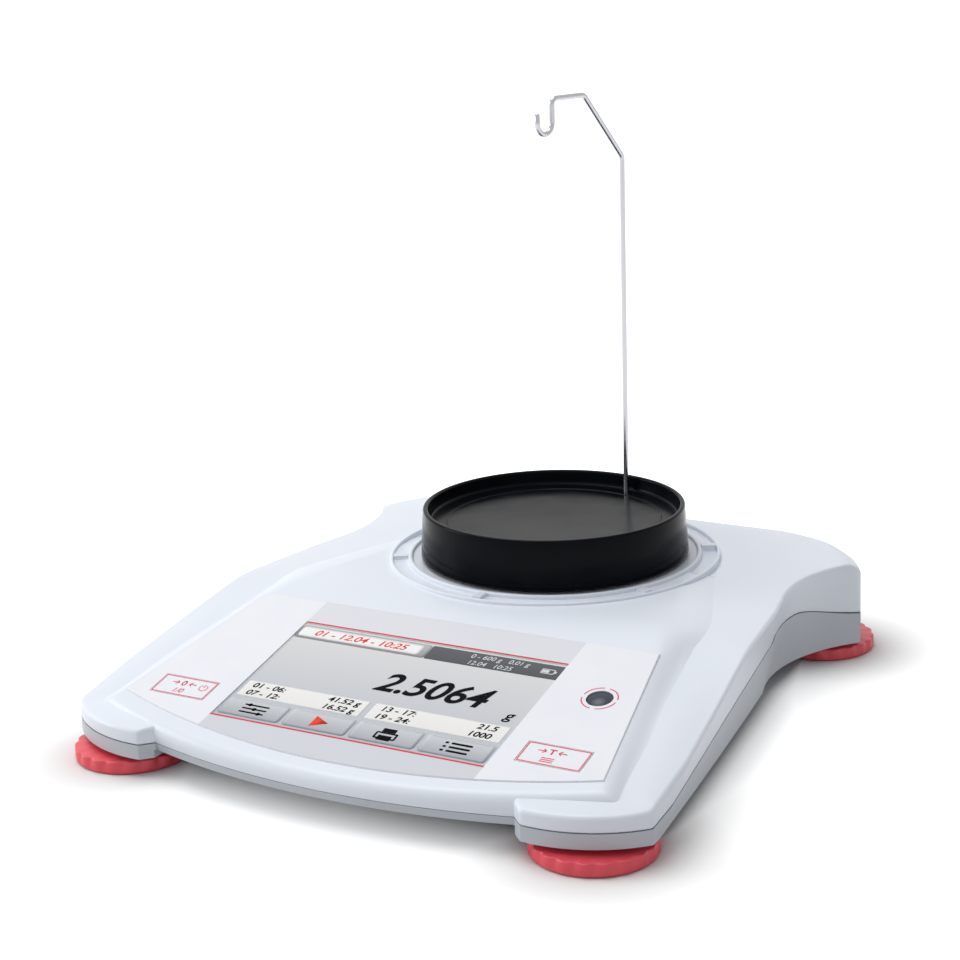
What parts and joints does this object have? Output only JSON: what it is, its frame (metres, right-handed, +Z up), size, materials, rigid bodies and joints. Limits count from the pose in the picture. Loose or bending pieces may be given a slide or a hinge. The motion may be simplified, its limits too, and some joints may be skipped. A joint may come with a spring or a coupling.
{
  "type": "portable balance",
  "caption": "Low white top-loading balance with a sloping touch display, a black loading dish, a wire hook for hanging samples and scalloped levelling feet.",
  "frame": {"origin": "centre of the footprint, on the table under the feet", "axes": "+X to the right seen from the display, +Y to the back, +Z up"},
  "size_m": [0.2004, 0.2247, 0.1948],
  "materials": {
    "white_shell": "satin",
    "grey_shell": "satin",
    "film": "satin",
    "touch_glass": "gloss",
    "module_frame": "satin",
    "circuit_board": "satin",
    "spring_steel": "satin",
    "level_body": "satin",
    "level_window": "gloss",
    "cell_aluminium": "satin",
    "support_aluminium": "satin",
    "screw_steel": "satin",
    "black_dish": "gloss",
    "hook_steel": "polished",
    "insert_brass": "satin",
    "coral_knob": "satin",
    "pad_rubber": "matte",
    "battery_can": "gloss",
    "socket_plastic": "satin",
    "grey_cover": "satin"
  },
  "bodies": {
    "base": {"upper_housing": "white_shell", "lower_housing": "grey_shell", "front_overlay": "film", "display_window": "touch_glass", "display_module": "module_frame", "display_board": "circuit_board", "key_domes": "spring_steel", "level_body": "level_body", "level_window": "level_window", "main_board": "circuit_board", "load_cell": "cell_aluminium", "cell_plate": "cell_aluminium", "cell_spacers": "cell_aluminium", "cell_screws": "screw_steel", "pan_support": "support_aluminium", "foot_inserts": "insert_brass", "battery_cells": "battery_can", "battery_contacts": "spring_steel", "dc_jack": "socket_plastic", "port_cover": "grey_cover", "housing_screws": "screw_steel", "board_screws": "screw_steel"},
    "loading_dish": {"dish": "black_dish", "hook": "hook_steel"},
    "zero_key": {"zero_key": "film"},
    "tare_key": {"tare_key": "film"},
    "battery_cover": {"battery_cover": "grey_shell"},
    "transport_lock": {"transport_lock": "coral_knob"},
    "foot_pad_front_left": {"foot_pad_front_left": "pad_rubber"},
    "foot_knob_front_left": {"foot_knob_front_left": "coral_knob"},
    "foot_pad_front_right": {"foot_pad_front_right": "pad_rubber"},
    "foot_knob_front_right": {"foot_knob_front_right": "coral_knob"},
    "foot_pad_rear_left": {"foot_pad_rear_left": "pad_rubber"},
    "foot_knob_rear_left": {"foot_knob_rear_left": "coral_knob"},
    "foot_pad_rear_right": {"foot_pad_rear_right": "pad_rubber"},
    "foot_knob_rear_right": {"foot_knob_rear_right": "coral_knob"}
  },
  "joints": [
    {"name": "dish_lift", "type": "slide", "parent": "base", "child": "loading_dish", "axis": [0, 0, 1], "range_m": [0, 0.03]},
    {"name": "zero_key_press", "type": "slide", "parent": "base", "child": "zero_key", "axis": [0, 0.2227, -0.9749], "range_m": [0, 0.0004], "stiffness_N_per_m": 1500},
    {"name": "tare_key_press", "type": "slide", "parent": "base", "child": "tare_key", "axis": [0, 0.2227, -0.9749], "range_m": [0, 0.0004], "stiffness_N_per_m": 1500},
    {"name": "battery_cover_slide", "type": "slide", "parent": "base", "child": "battery_cover", "axis": [0, -1, 0], "range_m": [0, 0.006]},
    {"name": "lock_turn", "type": "hinge", "parent": "base", "child": "transport_lock", "pos_m": [0, 0.0137, 0.007], "axis": [0, 0, 1], "range_deg": [0, 90]},
    {"name": "foot_travel_front_left", "type": "slide", "parent": "base", "child": "foot_pad_front_left", "axis": [0, 0, -1], "range_m": [-0.0006, 0.003]},
    {"name": "foot_turn_front_left", "type": "hinge", "parent": "foot_pad_front_left", "child": "foot_knob_front_left", "pos_m": [-0.081, -0.092, 0.003], "axis": [0, 0, -1], "range_deg": [-174, 866]},
    {"name": "foot_travel_front_right", "type": "slide", "parent": "base", "child": "foot_pad_front_right", "axis": [0, 0, -1], "range_m": [-0.0006, 0.003]},
    {"name": "foot_turn_front_right", "type": "hinge", "parent": "foot_pad_front_right", "child": "foot_knob_front_right", "pos_m": [0.081, -0.092, 0.003], "axis": [0, 0, -1], "range_deg": [-174, 866]},
    {"name": "foot_travel_rear_left", "type": "slide", "parent": "base", "child": "foot_pad_rear_left", "axis": [0, 0, -1], "range_m": [-0.0006, 0.003]},
    {"name": "foot_turn_rear_left", "type": "hinge", "parent": "foot_pad_rear_left", "child": "foot_knob_rear_left", "pos_m": [-0.081, 0.0909, 0.003], "axis": [0, 0, -1], "range_deg": [-174, 866]},
    {"name": "foot_travel_rear_right", "type": "slide", "parent": "base", "child": "foot_pad_rear_right", "axis": [0, 0, -1], "range_m": [-0.0006, 0.003]},
    {"name": "foot_turn_rear_right", "type": "hinge", "parent": "foot_pad_rear_right", "child": "foot_knob_rear_right", "pos_m": [0.081, 0.0909, 0.003], "axis": [0, 0, -1], "range_deg": [-174, 866]}
  ],
  "couplings": [
    {"joint": "foot_turn_front_left", "follows": "foot_travel_front_left", "rad_per_m": 5026.5},
    {"joint": "foot_turn_front_right", "follows": "foot_travel_front_right", "rad_per_m": 5026.5},
    {"joint": "foot_turn_rear_left", "follows": "foot_travel_rear_left", "rad_per_m": 5026.5},
    {"joint": "foot_turn_rear_right", "follows": "foot_travel_rear_right", "rad_per_m": 5026.5}
  ]
}
